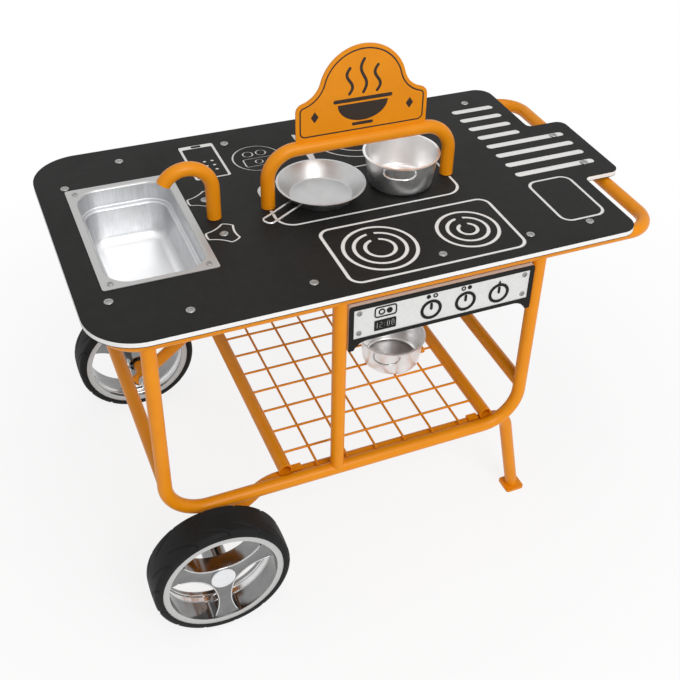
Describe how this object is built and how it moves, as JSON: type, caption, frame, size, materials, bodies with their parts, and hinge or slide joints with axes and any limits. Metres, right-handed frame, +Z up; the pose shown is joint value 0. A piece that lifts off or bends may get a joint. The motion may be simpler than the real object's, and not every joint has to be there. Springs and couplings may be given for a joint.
{
  "type": "play street food cart",
  "caption": "Child-size street food cart: bent tube frame with wheels, board worktop, sink with faucet, sign on an arch, wire shelf and loose cookware",
  "frame": {"origin": "on the ground, under the middle of the overall box", "axes": "+X from the wheel end to the push handle, +Y from the panel side to the far side, +Z up"},
  "size_m": [0.889, 0.604, 0.7915],
  "materials": {
    "orange_paint": "satin",
    "black_board": "matte",
    "white_board": "matte",
    "sheet_steel": "brushed",
    "wire_steel": "satin",
    "screw_steel": "satin",
    "black_plastic": "matte",
    "white_plastic": "gloss",
    "rim_silver": "metallised",
    "tyre_rubber": "matte"
  },
  "bodies": {
    "cart": {"deck_top_skin": "black_board", "deck_core": "white_board", "deck_bottom_skin": "black_board", "deck_lugs": "orange_paint", "deck_screws": "screw_steel", "sink_bowl": "sheet_steel", "sink_screws": "screw_steel", "faucet_tube": "orange_paint", "faucet_plate": "orange_paint", "arch_tube": "orange_paint", "arch_plates": "orange_paint", "arch_plate_screws": "screw_steel", "sign_plate": "orange_paint", "panel_front_skin": "black_board", "panel_core": "white_board", "panel_back_skin": "black_board", "panel_lugs": "orange_paint", "panel_screws": "screw_steel", "top_loop": "orange_paint", "front_side_frame": "orange_paint", "rear_side_frame": "orange_paint", "front_post": "orange_paint", "rear_post": "orange_paint", "left_cross_tube": "orange_paint", "right_cross_tube": "orange_paint", "front_undercarriage": "orange_paint", "rear_undercarriage": "orange_paint", "foot_plates": "orange_paint", "strut_plugs": "black_plastic", "shelf_left_tube": "orange_paint", "shelf_right_tube": "orange_paint", "shelf_mesh": "orange_paint", "shelf_lugs": "orange_paint", "axle_sleeves": "orange_paint", "axle_bolts": "screw_steel", "axle_washers": "screw_steel", "axle_nuts": "screw_steel"},
    "front_wheel": {"front_tyre": "tyre_rubber", "front_rim": "rim_silver", "front_bushes": "black_plastic", "front_hub_cap": "white_plastic"},
    "rear_wheel": {"rear_tyre": "tyre_rubber", "rear_rim": "rim_silver", "rear_bushes": "black_plastic", "rear_hub_cap": "white_plastic"},
    "pan": {"pan_body": "sheet_steel", "pan_handle": "wire_steel"},
    "pot": {"pot_body": "sheet_steel", "pot_handles": "wire_steel"},
    "small_pot": {"small_pot_body": "sheet_steel", "small_pot_handles": "wire_steel"}
  },
  "joints": [
    {"name": "front_wheel_spin", "type": "hinge", "parent": "cart", "child": "front_wheel", "pos_m": [-0.3135, -0.2725, 0.1065], "axis": [0, 1, 0], "continuous": true},
    {"name": "rear_wheel_spin", "type": "hinge", "parent": "cart", "child": "rear_wheel", "pos_m": [-0.3135, 0.2725, 0.1065], "axis": [0, 1, 0], "continuous": true},
    {"name": "pan_lift", "type": "slide", "parent": "cart", "child": "pan", "axis": [0, -0.9976, 0.0698], "range_m": [0, 0.34]},
    {"name": "pot_lift", "type": "slide", "parent": "cart", "child": "pot", "axis": [0, -0.9976, 0.0698], "range_m": [0, 0.34]},
    {"name": "small_pot_lift", "type": "slide", "parent": "cart", "child": "small_pot", "axis": [0, -0.9976, 0.0698], "range_m": [0, 0.34]}
  ]
}
